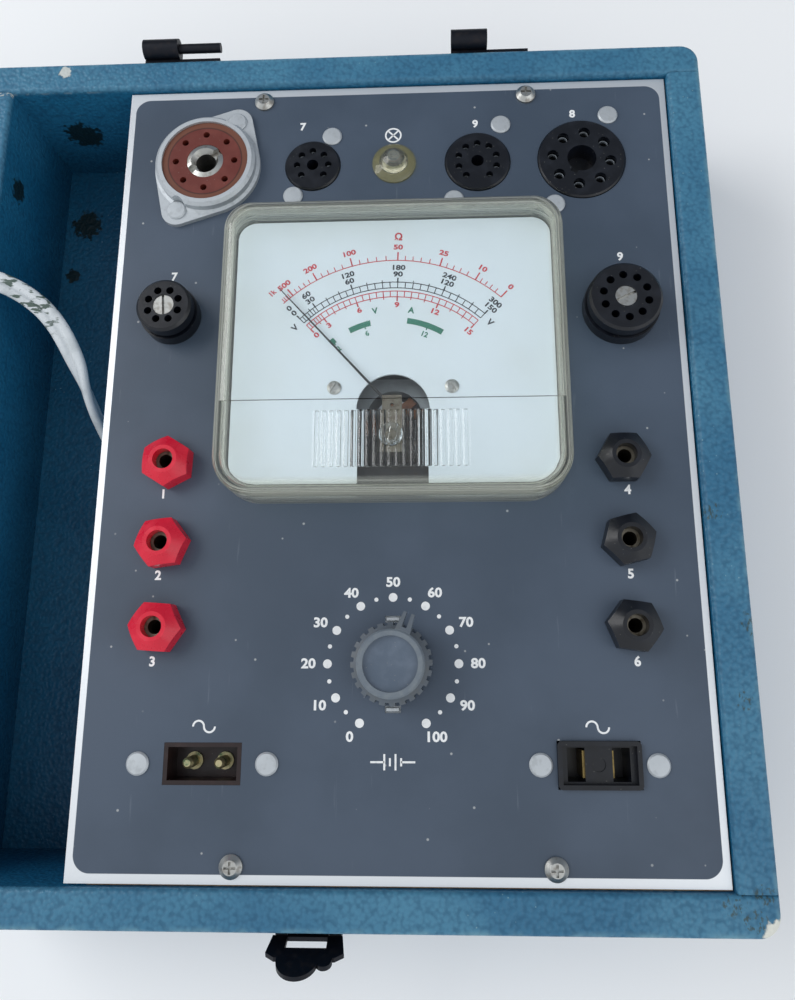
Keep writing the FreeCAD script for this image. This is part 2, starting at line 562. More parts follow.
# Indicator: a clear jewel pressed into the panel, and a lamp below it on a bracket.
jewel = Piece("indicator_jewel")
jewel.revolve([("0", "jewel_rise"), ("jewel_dome * 0.42", "jewel_rise * 0.95"),
               ("jewel_dome * 0.78", "jewel_rise * 0.78"), ("jewel_dome", "jewel_rim + 0.6"),
               ("jewel_flange - 0.8", "jewel_rim"), ("jewel_flange", "jewel_rim * 0.5"),
               ("jewel_flange", "0"), ("jewel_stem", "0"), ("jewel_stem", "-lamp_drop + 2"),
               ("0", "-lamp_drop + 2")])
place(jewel.body, on_panel("0", SOCKET_ROW))
keep(jewel.body, "indicator_jewel")
lamp = Piece("filament_lamp")
lamp.revolve([("0", "0"), ("lamp_radius * 0.7", "-0.8"), ("lamp_radius", "-lamp_radius"),
              ("lamp_radius", "-lamp_length"), ("lamp_base", "-lamp_length"),
              ("lamp_base", "-lamp_length - 7"), ("0", "-lamp_length - 7")])
place(lamp.body, on_panel("0", SOCKET_ROW, "-lamp_drop"))
keep(lamp.body, "filament_lamp")
LAMP_SEAT = "-lamp_drop - lamp_length - 7"
bracket = Piece("lamp_holder")
bracket.pad(bracket.outlines([[("-lamp_base - 2", f"{LAMP_SEAT} - 1"),
                               ("lamp_base + 2.4", f"{LAMP_SEAT} - 1"),
                               ("lamp_base + 2.4", "-panel_sheet - 1"),
                               ("lamp_base + 8", "-panel_sheet - 1"), ("lamp_base + 8", "-panel_sheet"),
                               ("lamp_base + 1.4", "-panel_sheet"), ("lamp_base + 1.4", LAMP_SEAT),
                               ("-lamp_base - 2", LAMP_SEAT)]], "XZ_Plane", "-lamp_base"), "2 * lamp_base")
place(bracket.body, on_panel("0", SOCKET_ROW))
keep(bracket.body, "lamp_holder")


# Straighteners: two stacked discs with a ring of blind holes, held by one screw.
def straightener(label, name, count, sign):
    block = Piece(label)
    half = "straight_rise * 0.45"
    block.revolve([("screw_shank + fit", "straight_rise - 2"), ("screw_head + fit", "straight_rise - 2"),
                   ("screw_head + fit", "straight_rise"), (f"{name}_block - 0.8", "straight_rise"),
                   (f"{name}_block", "straight_rise - 0.8"), (f"{name}_block", f"{half} + straight_groove"),
                   (f"{name}_block - 1.2", f"{half} + straight_groove"), (f"{name}_block - 1.2", half),
                   (f"{name}_block + 0.6", half), (f"{name}_block + 0.6", "0"), ("screw_shank + fit", "0")])
    first = block.discs([(f"{name}_block_ring", "0", f"{name}_block_hole")], offset="straight_rise")
    block.ring(block.pocket(first, "straight_depth"), count)
    place(block.body, on_panel(f"{sign}straight_x", "straight_y"), "22.5")
    return keep(block.body, label)


straightener("seven_pin_straightener", "seven", 8, "-")
straightener("nine_pin_straightener", "nine", 10, "+")
block_screw = Piece("straightener_screw")
block_screw.revolve([("0", "straight_rise - 0.3"), ("screw_head", "straight_rise - 0.3"),
                     ("screw_head", "straight_rise - 2"), ("screw_shank", "straight_rise - 2"),
                     ("screw_shank", "-panel_sheet"), ("screw_head", "-panel_sheet"),
                     ("screw_head", "-panel_sheet - 2.4"), ("0", "-panel_sheet - 2.4")])
block_screw.pocket(block_screw.outlines([corners_of("2 * screw_head + 1", "0.8")],
                                        offset="straight_rise - 0.3"), "0.9")
grouped("straightener_screws", copies("straightener_screws", block_screw.body, [
    (*on_panel("-straight_x", "straight_y"), "95"), (*on_panel("straight_x", "straight_y"), "25")]))

# Jacks: hexagonal moulded heads bevelled to a flat ring, with a metal sleeve inside and a nut below.
jack = Piece("jack")
jack.pad(jack.outlines([polygon("jack_corner", 6)]), "jack_rise")
jack.revolve([("jack_face", "jack_rise"), ("jack_corner + 1", "jack_rise"),
              ("jack_corner + 1", "jack_rise - (jack_corner + 1 - jack_face) * 0.8")], cut=True)
jack.pad(jack.discs([("0", "0", "jack_stem")]), "jack_depth", True)
jack.pocket(jack.discs([("0", "0", "jack_mouth")], offset="jack_rise"), "jack_rise + jack_depth")
for label, sign, turns in (("red_jacks", "-", ("28", "8", "-4")), ("black_jacks", "+", ("0", "14", "-8"))):
    grouped(label, copies(label, jack.body, [(*on_panel(f"{sign}jack_x", y), turn) for y,
                                             turn in zip(JACK_ROWS, turns)]))
sleeve = Piece("jack_contact")
sleeve.revolve([("jack_bore", "jack_sleeve_top"), ("jack_mouth - fit", "jack_sleeve_top"),
                ("jack_mouth - fit", "-jack_depth"), ("jack_bore", "-jack_depth")])
nut = Piece("jack_nut")
nut.pad(nut.outlines([polygon("nut_corner", 6)]), "nut_height", True)
nut.pocket(nut.discs([("0", "0", "jack_stem + fit")]), "nut_height")
all_jacks = [(f"{sign}jack_x", y) for sign in "-+" for y in JACK_ROWS]
grouped("jack_contacts", copies("jack_contacts", sleeve.body, [on_panel(x, y) for x, y in all_jacks]))
grouped("jack_nuts", copies("jack_nuts", nut.body, [on_panel(x, y, "-panel_sheet") for x, y in all_jacks]))

# Compensator: a toothed knob with a forked pointer, on the shaft of a potentiometer held by two
# twisted tabs.
knob = Piece("compensator_knob")
knob.revolve([("0", "knob_rise - knob_dish_depth * 1.6"), ("knob_dish * 0.6",
                                                           "knob_rise - knob_dish_depth * 1.35"),
              ("knob_dish", "knob_rise - knob_dish_depth"), ("knob_dish", "knob_rise"),
              ("knob_ring - 0.5", "knob_rise"), ("knob_ring", "knob_rise - 0.5"),
              ("knob_ring", "knob_skirt"), ("knob_radius", "knob_skirt - 0.6"),
              ("knob_radius", "knob_lift"), ("shaft_radius + fit", "knob_lift"),
              ("shaft_radius + fit", "knob_rise - 4.5"), ("0", "knob_rise - 4.5")])
groove = knob.outlines([[("knob_root", "-0.55"), ("knob_radius + 0.5", "-0.8"),
                         ("knob_radius + 0.5", "0.8"), ("knob_root", "0.55")]], offset="knob_skirt")
knob.ring(knob.pocket(groove, "knob_skirt - knob_lift"), 24)
prong = "fork_gap / 2 + fork_prong"
knob.pad(knob.outlines([[("knob_ring - 0.6", f"-({prong}) - 0.7"), ("fork_reach", f"-({prong})"),
                         ("fork_reach", "-fork_gap / 2"), ("knob_ring + 1", "-fork_gap / 2"),
                         ("knob_ring + 1", "fork_gap / 2"), ("fork_reach", "fork_gap / 2"),
                         ("fork_reach", prong), ("knob_ring - 0.6", f"{prong} + 0.7")]],
                       offset="knob_rise - 3"), "2.4")
place(knob.body, on_panel("0", "dial_y"), "knob_setting")
keep(knob.body, "compensator_knob")
keep(rod("shaft_rod", on_panel("0", "dial_y", "knob_rise - 4.5 - shaft_length"), "shaft_radius",
         "shaft_length"), "potentiometer_shaft")

pot = Piece("potentiometer_body")
pot.revolve([("shaft_radius + fit", "0.6"), ("pot_bush", "0.6"), ("pot_bush", "-panel_sheet"),
             ("pot_radius", "-panel_sheet"), ("pot_radius", "-panel_sheet - pot_depth"),
             ("0", "-panel_sheet - pot_depth"), ("0", "knob_rise - 4.5 - shaft_length - seat_gap"),
             ("shaft_radius + fit", "knob_rise - 4.5 - shaft_length - seat_gap")])
for sign in "-+":
    pot.pad(pot.outlines([corners_of("tab_width", "tab_sheet", "0", f"{sign}tab_offset")],
                         offset="-panel_sheet - 0.5"), "panel_sheet + 0.5 + tab_rise")
place(pot.body, on_panel("0", "dial_y"))
keep(pot.body, "potentiometer_body")

# Line-cord inlet: a recessed moulded block with two round pins, riveted under the panel.
inlet = Piece("line_inlet_block")
inlet.pad(inlet.outlines([corners_of("inlet_width", "inlet_height")]), "inlet_depth", True)
inlet.pad(inlet.outlines([corners_of("inlet_rivets + 8", "inlet_height")], offset="-panel_sheet"), "saddle",
          True)
inlet.pocket(inlet.outlines([corners_of("inlet_width - 2 * inlet_wall", "inlet_height - 2 * inlet_wall")]),
             "inlet_well")
inlet.pocket(inlet.discs([(f"{sign}inlet_rivets / 2", "0", "rivet_shank + fit") for sign in "-+"],
                         offset="-panel_sheet"), "saddle")
inlet.pocket(inlet.discs([(f"{sign}inlet_pitch / 2", "0", "inlet_pin + fit") for sign in "-+"],
                         offset="-inlet_well"), "inlet_depth - inlet_well")
place(inlet.body, on_panel("inlet_x", POWER_ROW))
keep(inlet.body, "line_inlet_block")
inlet_pin = Piece("inlet_pin")
inlet_pin.revolve([("0", "-0.8"), ("inlet_pin * 0.6", "-0.8"), ("inlet_pin", "-1.8"),
                   ("inlet_pin", "-inlet_well + 0.8"), ("inlet_pin + 0.9", "-inlet_well + 0.8"),
                   ("inlet_pin + 0.9", "-inlet_well"), ("inlet_pin", "-inlet_well"),
                   ("inlet_pin", "-inlet_depth - 4"), ("0", "-inlet_depth - 4")])
grouped("line_inlet_pins", copies("line_inlet_pins", inlet_pin.body, [
    on_panel(f"inlet_x {sign} inlet_pitch / 2", POWER_ROW) for sign in "-+"]))

# Appliance receptacle: a raised frame round a sunk face with two blade slots.
outlet = Piece("appliance_receptacle")
outlet.pad(outlet.outlines([corners_of("outlet_width", "outlet_height")], offset="outlet_rise"),
           "outlet_depth + outlet_rise", True)
outlet.soften("outlet_wall", upright)
outlet.pad(outlet.outlines([corners_of("outlet_rivets + 8", "outlet_height - 1")], offset="-panel_sheet"),
           "saddle", True)
outlet.pocket(outlet.outlines([corners_of("outlet_width - 2 * outlet_wall",
                                          "outlet_height - 2 * outlet_wall")], offset="outlet_rise"),
              "outlet_well")
outlet.pocket(outlet.outlines([corners_of("outlet_slot", "outlet_blade", f"{sign}outlet_pitch / 2")
                               for sign in "-+"], offset="outlet_rise - outlet_well"), "outlet_slot_depth")
outlet.pocket(outlet.discs([("0", "0", "outlet_slot * 0.4")], offset="outlet_rise - outlet_well"), "0.4")
outlet.pocket(outlet.discs([(f"{sign}outlet_rivets / 2", "0", "rivet_shank + fit") for sign in "-+"],
                           offset="-panel_sheet"), "saddle")
place(outlet.body, on_panel("outlet_x", POWER_ROW))
keep(outlet.body, "appliance_receptacle")
SLOT_FLOOR = "outlet_rise - outlet_well - outlet_slot_depth"
INNER_SIDE = "outlet_pitch / 2 - outlet_slot / 2"
grouped("receptacle_contacts", [
    box("contact_blade", on_panel(f"outlet_x + {low}", f"{POWER_ROW} - outlet_blade * 0.4", SLOT_FLOOR),
        ("contact_sheet", "outlet_blade * 0.8", "outlet_slot_depth - 1"))
    for low in (INNER_SIDE, f"-({INNER_SIDE}) - contact_sheet")])


# Meter base: a plate inside the cover and a housing through the panel, with seats for the magnet and
# the dial screws.
PIVOT = "(-pivot_drop)"
CAVITY_Z = "(-housing_depth + housing_wall)"
MAGNET_Z = f"({CAVITY_Z} + magnet_seat)"
CORE_Z = f"({MAGNET_Z} + core_shy)"
CORE_HIGH = "(magnet_height - 2 * core_shy)"
DIAL_Z = "(base_plate + dial_sheet)"
STRAP_Z = f"({DIAL_Z} + pointer_lift + pointer_sheet + bridge_lift)"
HOUSING_MID = f"({HOUSING_LOW} + {HOUSING_LONG} / 2 - {METER_Y})"
DIAL_SCREWS = [(f"{sign}dial_screw_x", f"{PIVOT} + dial_screw_rise") for sign in "-+"]


def cover_block(name, inset, height):
    """A block of the cover's rounded outline, drawn in by an inset."""
    block = Piece(name)
    block.pad(block.outlines([corners_of(f"meter_width - 2 * ({inset})", f"meter_length - 2 * ({inset})")]),
              height)
    block.soften(f"cover_front_round - ({inset})", lambda edge: upright(edge) and edge.Vertexes[0].Y < 0)
    block.soften(f"cover_rear_round - ({inset})", lambda edge: upright(edge)
                 and edge.Vertexes[0].Y > size_of("meter_length") / 4
                 and abs(edge.Vertexes[0].X) > size_of("meter_width") / 4)
    return block


base = cover_block("meter_base", "cover_wall + base_inset", "base_plate")
base.pad(base.outlines([corners_of("housing_width", HOUSING_LONG, "0", HOUSING_MID)]), "housing_depth", True)
base.pocket(base.outlines([corners_of("housing_width - 2 * housing_wall",
                                      f"{HOUSING_LONG} - 2 * housing_wall", "0", HOUSING_MID)],
                          offset="base_plate"), "base_plate + housing_depth - housing_wall")
base.pad(base.outlines([corners_of("5", "magnet_front", f"{sign}(magnet_width / 2 - 2.5)", PIVOT)
                        for sign in "-+"], offset=CAVITY_Z), "magnet_seat")
base.pad(base.discs([(x, y, "2.8") for x, y in DIAL_SCREWS], offset=CAVITY_Z), f"base_plate - {CAVITY_Z}")
base.pocket(base.discs([(x, y, "1 + fit") for x, y in DIAL_SCREWS], offset="base_plate"), "6")
place(base.body, on_panel("0", METER_Y))
keep(base.body, "meter_base")

# Clear cover: a rounded shell with a stepped, fluted lower band and a hole for the zero adjuster.
outside = cover_block("cover_outside", "0", "meter_rise")
cover_top = size_of("meter_rise")
outside.soften("cover_edge", lambda edge: all(abs(end.Z - cover_top) < 1e-6 for end in edge.Vertexes))
band = [("-meter_width / 2", "-meter_length / 2"), ("meter_width / 2", "-meter_length / 2"),
        ("meter_width / 2", "-step_drop"), ("-meter_width / 2", "-step_drop")]
outside.pocket(outside.outlines([band], offset="meter_rise"), "cover_step")
flute = outside.pocket(outside.outlines([corners_of("flute_width", "flute_long",
                                                    "-(flute_count - 1) * flute_pitch / 2",
                                                    "-flute_drop")],
                                        offset="meter_rise - cover_step"), "flute_deep")
flutes = outside.body.newObject("PartDesign::LinearPattern", "Flutes")
flutes.Originals = [flute]
flutes.Direction = (outside.origin("X_Axis"), [""])
bind(flutes, "Length", "(flute_count - 1) * flute_pitch")
flutes.Occurrences = int(size_of("flute_count"))
outside.body.Tip = flutes
outside.pocket(outside.discs([("0", "-zero_drop", "zero_stem + fit")], offset="meter_rise"),
               "meter_rise")
inside = cover_block("cover_inside", "cover_wall", "meter_rise - cover_wall")
inside_top = cover_top - size_of("cover_wall")
inside.soften("cover_edge - cover_wall", lambda edge: all(abs(end.Z - inside_top) < 1e-6
                                                          for end in edge.Vertexes))
shell_cut = less("cover_shell", outside.body, [inside.body])
place(shell_cut, on_panel("0", METER_Y))
keep(shell_cut, "meter_cover")

# Dial plate with a notch that shows the movement, and its two screws.
dial = cover_block("meter_dial_plate", "cover_wall + dial_margin", "dial_sheet")
dial.pocket(dial.discs([("0", PIVOT, "notch_radius")], offset="dial_sheet"), "dial_sheet")
dial.pocket(dial.outlines([corners_of("2 * notch_radius - 1", "meter_length", "0",
                                      f"{PIVOT} - meter_length / 2")], offset="dial_sheet"), "dial_sheet")
dial.pocket(dial.discs([(x, y, "1 + fit") for x, y in DIAL_SCREWS], offset="dial_sheet"), "dial_sheet")
place(dial.body, on_panel("0", METER_Y, "base_plate"))
keep(dial.body, "meter_dial_plate")
dial_screw = Piece("dial_screw")
dial_screw.revolve([("0", "0.9"), ("dial_screw_head * 0.6", "0.9"), ("dial_screw_head", "0.3"),
                    ("dial_screw_head", "0"), ("1", "0"), ("1", "-5"), ("0", "-5")])
dial_screw.pocket(dial_screw.outlines([corners_of("2 * dial_screw_head", "0.5")], offset="0.9"), "0.5")
grouped("dial_screws", copies("dial_screws", dial_screw.body, [
    (*on_panel(x, f"{y} + {METER_Y}", DIAL_Z), turn) for (x, y), turn in zip(DIAL_SCREWS, ("60", "-50"))]))

# Movement: a bored magnet, an iron core on two brass webs, and bridges that carry the pivots.
magnet = Piece("meter_magnet")
magnet.pad(magnet.outlines([corners_of("magnet_width", "magnet_front + magnet_rear", "0",
                                       "(magnet_rear - magnet_front) / 2")]), "magnet_height")
magnet.pocket(magnet.discs([("0", "0", "gap_radius")], offset="magnet_height"), "magnet_height")
place(magnet.body, on_panel("0", PIVOT_Y, MAGNET_Z))
keep(magnet.body, "meter_magnet")
keep(rod("core_rod", on_panel("0", PIVOT_Y, CORE_Z), "core_radius", CORE_HIGH), "meter_core")

WEB_REACH = "(sqrt(gap_radius ^ 2 - core_web ^ 2 / 4) - core_radius)"
webs = [box("core_web_box", on_panel("-core_web / 2", f"{PIVOT_Y} + {low}", f"{CORE_Z} + {CORE_HIGH} / 4"),
            ("core_web", WEB_REACH, f"{CORE_HIGH} / 2"))
        for low in ("core_radius", f"-core_radius - {WEB_REACH}")]
upper = Piece("upper_bridge")
POST = "-bridge_post"
MAGNET_TOP = f"({MAGNET_Z} + magnet_height)"
upper.pad(upper.outlines([[(f"{POST} - bridge_sheet", MAGNET_TOP), (POST, MAGNET_TOP), (POST, STRAP_Z),
                           ("3", STRAP_Z), ("3", f"{STRAP_Z} + bridge_sheet"),
                           (f"{POST} - bridge_sheet", f"{STRAP_Z} + bridge_sheet")]], "YZ_Plane",
                         "-bridge_width / 2"), "bridge_width")
upper.pocket(upper.discs([("0", "0", "staff_radius + fit")], offset=f"{STRAP_Z} + bridge_sheet"),
             "bridge_sheet")
place(upper.body, on_panel("0", PIVOT_Y))
lower_spot = on_panel("-bridge_width", f"{PIVOT_Y} - bridge_width", CAVITY_Z)
lower_plate = box("lower_plate", lower_spot, ("2 * bridge_width", "2 * bridge_width", "bridge_sheet"))
lower = less("lower_bridge", lower_plate,
             [rod("lower_eye", on_panel("0", PIVOT_Y, CAVITY_Z), "staff_radius + fit", "bridge_sheet")])
grouped("movement_brackets", [*webs, upper.body, lower])

# Moving coil: a rectangular frame round the core with a pivot above and below; the pointer rides on
# its upper pivot.
COIL_LOW = f"({CORE_Z} - coil_over)"
COIL_HIGH = f"({CORE_HIGH} + 2 * coil_over)"
loop = less("coil_loop", box("coil_outer_box", ("-coil_radius", "-coil_width / 2", COIL_LOW),
                             ("2 * coil_radius", "coil_width", COIL_HIGH)),
            [box("coil_inner_box", ("-coil_radius + coil_side", "-coil_width", f"{COIL_LOW} + coil_side"),
                 ("2 * (coil_radius - coil_side)", "2 * coil_width", f"{COIL_HIGH} - 2 * coil_side"))])
lower_pivot = rod("lower_pivot", ("0", "0", f"{CAVITY_Z} + 0.4"), "staff_radius", f"{COIL_LOW} - {CAVITY_Z}")
upper_pivot = rod("upper_pivot", ("0", "0", f"{COIL_LOW} + {COIL_HIGH} - coil_side / 2"), "staff_radius",
                  f"{STRAP_Z} + bridge_sheet - {COIL_LOW} - {COIL_HIGH}")
coil = joined("coil_frame", [loop, lower_pivot, upper_pivot])
place(coil, on_panel("0", PIVOT_Y), "pointer_rest - 90")
keep(coil, "moving_coil")

pointer = Piece("pointer")
pointer.pad(pointer.outlines([[("-pointer_tail", "-pointer_weight"), ("0", "-pointer_half"),
                               ("pointer_length", "-pointer_tip"), ("pointer_length", "pointer_tip"),
                               ("0", "pointer_half"), ("-pointer_tail", "pointer_weight")]]), "pointer_sheet")
pointer.pad(pointer.discs([("0", "0", "2 * staff_radius + 0.8")]), "pointer_sheet + 0.4")
pointer.pocket(pointer.discs([("0", "0", "staff_radius + fit")], offset="pointer_sheet + 0.4"),
               "pointer_sheet + 0.4")
place(pointer.body, on_panel("0", PIVOT_Y, f"{DIAL_Z} + pointer_lift"), "pointer_rest")
keep(pointer.body, "pointer")

BAND_Z = "(meter_rise - cover_step)"
zero = Piece("zero_adjust_screw")
zero.revolve([("0", "zero_rise"), ("zero_head - 0.6", "zero_rise"), ("zero_head", "zero_rise - 0.6"),
              ("zero_head", "fit"), ("zero_stem", "fit"), ("zero_stem", "-cover_wall - 1"),
              ("0", "-cover_wall - 1")])
zero.pocket(zero.outlines([corners_of("2 * zero_head + 1", "0.9")], offset="zero_rise"), "0.9")
place(zero.body, on_panel("0", f"{METER_Y} - zero_drop", BAND_Z), "80")
keep(zero.body, "zero_adjust_screw")
terminal = Piece("meter_terminal")
terminal.pad(terminal.outlines([polygon("2 * terminal_radius", 6)]), "2.5", True)
terminal.pad(terminal.discs([("0", "0", "terminal_radius")]), "terminal_length", True)
grouped("meter_terminals", copies("meter_terminals", terminal.body, [
    on_panel(f"{sign}terminal_x", PIVOT_Y, "-housing_depth") for sign in "-+"]))

# Cell in a spring clip, and a strip of resistors on two posts, both on the floor under the panel.
clip = Piece("battery_clip")
END = "cell_length / 2"
clip.pad(clip.outlines([[(f"-{END} - clip_sheet", "0"), (f"{END} + clip_sheet", "0"),
                         (f"{END} + clip_sheet", "1.6 * cell_radius"), (END, "1.6 * cell_radius"),
                         (END, "clip_sheet"), (f"-{END}", "clip_sheet"), (f"-{END}", "1.6 * cell_radius"),
                         (f"-{END} - clip_sheet", "1.6 * cell_radius")]], "XZ_Plane", "-cell_radius * 0.8"),
         "1.6 * cell_radius")
place(clip.body, (PANEL_X, f"{CASE_Y} + {HOUSING_LOW} - cell_gap", FLOOR_Z))
keep(clip.body, "battery_clip")
keep(rod("cell_rod", (f"{PANEL_X} - {END}", f"{CASE_Y} + {HOUSING_LOW} - cell_gap",
                      f"{FLOOR_Z} + clip_sheet + cell_radius + fit"), "cell_radius", "cell_length", "x"),
     "battery")
BOARD_Z = f"({FLOOR_Z} + board_lift)"
board_posts = [rod("board_post", (f"{PANEL_X} {sign} board_length * 0.42", f"{CASE_Y} + board_y", FLOOR_Z),
                   "3", "board_lift") for sign in "-+"]
strip = box("board_strip", (f"{PANEL_X} - board_length / 2", f"{CASE_Y} + board_y - board_width / 2",
                            BOARD_Z), ("board_length", "board_width", "board_sheet"))
resistors = [rod("resistor", (f"{PANEL_X} + {place_along} * resistor_pitch",
                              f"{CASE_Y} + board_y - resistor_length / 2",
                              f"{BOARD_Z} + board_sheet + resistor_radius + fit"), "resistor_radius",
                 "resistor_length", "y") for place_along in (-1.5, -0.5, 0.5, 1.5)]
grouped("resistor_board", [*board_posts, strip, *resistors])

# Lift-off hinge halves on the rear wall; only the left one still has its pin.
leaves = []
for side in HINGES:
    start = f"{side} - hinge_width / 2"
    leaf = box("hinge_plate", (start, REAR_Y, f"{RIM_Z} - hinge_height"),
               ("hinge_width", "strap", "hinge_height - 1"))
    tongue = box("hinge_tongue", (start, REAR_Y, f"{RIM_Z} - barrel_radius"),
                 ("barrel_length", "hinge_standoff", "strap"))
    barrel = rod("hinge_barrel", (start, f"{REAR_Y} + hinge_standoff", RIM_Z), "barrel_radius",
                 "barrel_length", "x")
    bore = rod("hinge_bore", (f"{start} - 1", f"{REAR_Y} + hinge_standoff", RIM_Z), "pin_radius + fit",
               "barrel_length + 2", "x")
    holes = [rod("hinge_hole", (x, f"{REAR_Y} - 1", z), "rivet_shank + fit", "strap + 2", "y")
             for x, z in HINGE_RIVETS if x.startswith(f"{side} ")]
    leaves.append(less("hinge_leaf", joined("hinge_blank", [leaf, tongue, barrel]), [bore, *holes]))
grouped("hinge_leaves", leaves)
pin_root = rod("pin_root", ("-hinge_x - hinge_width / 2", f"{REAR_Y} + hinge_standoff", RIM_Z),
               "pin_radius + fit / 2", "barrel_length", "x")
pin_end = rod("pin_end", ("-hinge_x - hinge_width / 2 + barrel_length", f"{REAR_Y} + hinge_standoff",
                          RIM_Z), "pin_radius", "pin_reach", "x")
keep(joined("hinge_rod", [pin_root, pin_end]), "hinge_pin")

# Rivets of the hinges and the latch, through their plates into the boards.
wall_rivet = Piece("wall_rivet")
wall_rivet.revolve([("0", "1"), ("rivet_tail * 0.7", "1"), ("rivet_tail", "0.4"), ("rivet_tail", "0"),
                    ("rivet_shank", "0"), ("rivet_shank", "-strap - rivet_reach + 0.2"),
                    ("0", "-strap - rivet_reach + 0.2")])
wall_rivets = copies("rear_rivets", wall_rivet.body, [(x, f"{REAR_Y} + strap", z) for x, z in HINGE_RIVETS])
wall_rivets += copies("front_rivets", wall_rivet.body, [(x, f"{FRONT_Y} - strap", z) for x,
                                                        z in LATCH_RIVETS])
for index, link in enumerate(wall_rivets):
    tilt = -90 if index < len(HINGE_RIVETS) else 90
    link.Placement.Rotation = FreeCAD.Rotation(FreeCAD.Vector(1, 0, 0), tilt)
grouped("hardware_rivets", wall_rivets)

# Latch: a plate with two eyes, a pin, and a hasp plate with a window and a finger tongue that swings
# on the pin.
EYE_INNER = "(hasp_window / 2 + seat_gap)"
EYE_LONG = "(latch_width / 2 - 2.5 - hasp_window / 2 - seat_gap)"
LATCH_Y = f"({FRONT_Y} - latch_standoff)"
LATCH_Z = f"({RIM_Z} - latch_drop)"
latch_plate = box("latch_plate", ("latch_x - latch_width / 2", f"{FRONT_Y} - strap",
                                  f"{LATCH_Z} - latch_height * 0.6"),
                  ("latch_width", "strap", "latch_height"))
latch_bits = [latch_plate]
for start in (f"latch_x + {EYE_INNER}", f"latch_x - {EYE_INNER} - {EYE_LONG}"):
    latch_bits.append(rod("latch_eye_rod", (start, LATCH_Y, LATCH_Z), "latch_eye", EYE_LONG, "x"))
    latch_bits.append(box("latch_lug", (start, LATCH_Y, f"{LATCH_Z} - latch_eye * 0.7"),
                          (EYE_LONG, "latch_standoff", "latch_eye * 1.4")))
latch_holes = [rod("latch_hole", (x, f"{FRONT_Y} - strap - 1", z), "rivet_shank + fit", "strap + 2", "y")
               for x, z in LATCH_RIVETS]
latch_bore = rod("latch_bore", ("latch_x - latch_width", LATCH_Y, LATCH_Z), "latch_pin + fit",
                 "2 * latch_width", "x")
keep(less("latch_blank", joined("latch_bits", latch_bits), [latch_bore, *latch_holes]), "latch_base")
keep(rod("latch_rod", (f"latch_x - {EYE_INNER} - {EYE_LONG}", LATCH_Y, LATCH_Z), "latch_pin",
         f"2 * ({EYE_INNER} + {EYE_LONG})", "x"), "latch_pin")

hasp = Piece("latch_hasp")
HALF = "hasp_window / 2"
SHOULDER = "(hasp_clear + hasp_slot + 2.4)"
hasp.pad(hasp.outlines([[(f"-{HALF}", "0"), (HALF, "0"), (HALF, "hasp_clear"),
                         ("hasp_width / 2 - 1", "hasp_clear"), ("hasp_width / 2", SHOULDER),
                         ("hasp_width / 2 - 2.5", f"{SHOULDER} + 1.6"),
                         ("-hasp_width / 2 + 2.5", f"{SHOULDER} + 1.6"), ("-hasp_width / 2", SHOULDER),
                         ("-hasp_width / 2 + 1", "hasp_clear"), (f"-{HALF}", "hasp_clear")]], "XZ_Plane",
                       "-hasp_sheet / 2"), "hasp_sheet")
hasp.pad(hasp.discs([("tongue_shift", "hasp_length - tongue_radius", "tongue_radius")], "XZ_Plane",
                    "-hasp_sheet / 2"), "hasp_sheet")
hasp.pad(hasp.discs([("tongue_radius - 0.2", "hasp_length - tongue_radius", "tongue_radius * 0.4")],
                    "XZ_Plane", "-hasp_sheet / 2"), "hasp_sheet")
hasp.pad(hasp.discs([("0", "0", "latch_eye")], "YZ_Plane", f"-{HALF}"), "hasp_window")
hasp.pocket(hasp.outlines([corners_of("hasp_window", "hasp_slot", "0", "hasp_clear + 0.6 + hasp_slot / 2")],
                          "XZ_Plane", "hasp_sheet"), "2 * hasp_sheet")
hasp.pocket(hasp.discs([("0", "0", "latch_pin + fit")], "YZ_Plane", HALF), "hasp_window")
hasp.body.Placement.Rotation = FreeCAD.Rotation(FreeCAD.Vector(1, 0, 0), size_of("hasp_lean"))
place(hasp.body, ("latch_x", LATCH_Y, LATCH_Z), "hasp_lean")
keep(hasp.body, "latch_hasp")

# Line cord: the route from the connector in the compartment over the left wall, then a tied coil and
# a plug on the table.
CORD = size_of("cord_width")
ROUTE = [(-76.4, -18.0, 21.7), (-76.4, -7.0, 21.7), (-78.2, 4.0, 24.0), (-82.6, 13.5, 31.0),
         (-85.8, 24.5, 39.0), (-88.0, 36.0, 47.4), (-93.2, 47.6, 55.6), (-102.2, 54.2, 62.4),
         (-113.2, 57.0, 66.4), (-124.6, 58.4, 65.6), (-134.2, 59.8, 59.2), (-139.6, 61.2, 48.4),
         (-141.6, 62.4, 36.2), (-143.4, 62.6, 24.0), (-148.4, 60.6, 13.0), (-157.0, 56.2, 5.6),
         (-167.2, 50.2, 3.3), (-177.4, 44.2, 3.3)]


def rounded_route(points):
    """Straight runs joined by tangent arcs as large as the runs allow; returns the wire and the radii."""
    spots = [FreeCAD.Vector(*point) for point in points]
    edges = []
    radii = []
    start = spots[0]
    for before, corner, after in zip(spots, spots[1:], spots[2:]):
        back = (before - corner).normalize()
        ahead = (after - corner).normalize()
        reach = 0.45 * min((before - corner).Length, (after - corner).Length)
        half_turn = (math.pi - back.getAngle(ahead)) / 2
        radius = reach / math.tan(half_turn)
        bisector = (back + ahead).normalize()
        middle = corner + bisector * (radius / math.cos(half_turn) - radius)
        edges.append(Part.LineSegment(start, corner + back * reach).toShape())
        edges.append(Part.Arc(corner + back * reach, middle, corner + ahead * reach).toShape())
        radii.append(radius)
        start = corner + ahead * reach
    edges.append(Part.LineSegment(start, spots[-1]).toShape())
    return Part.Wire(edges), radii


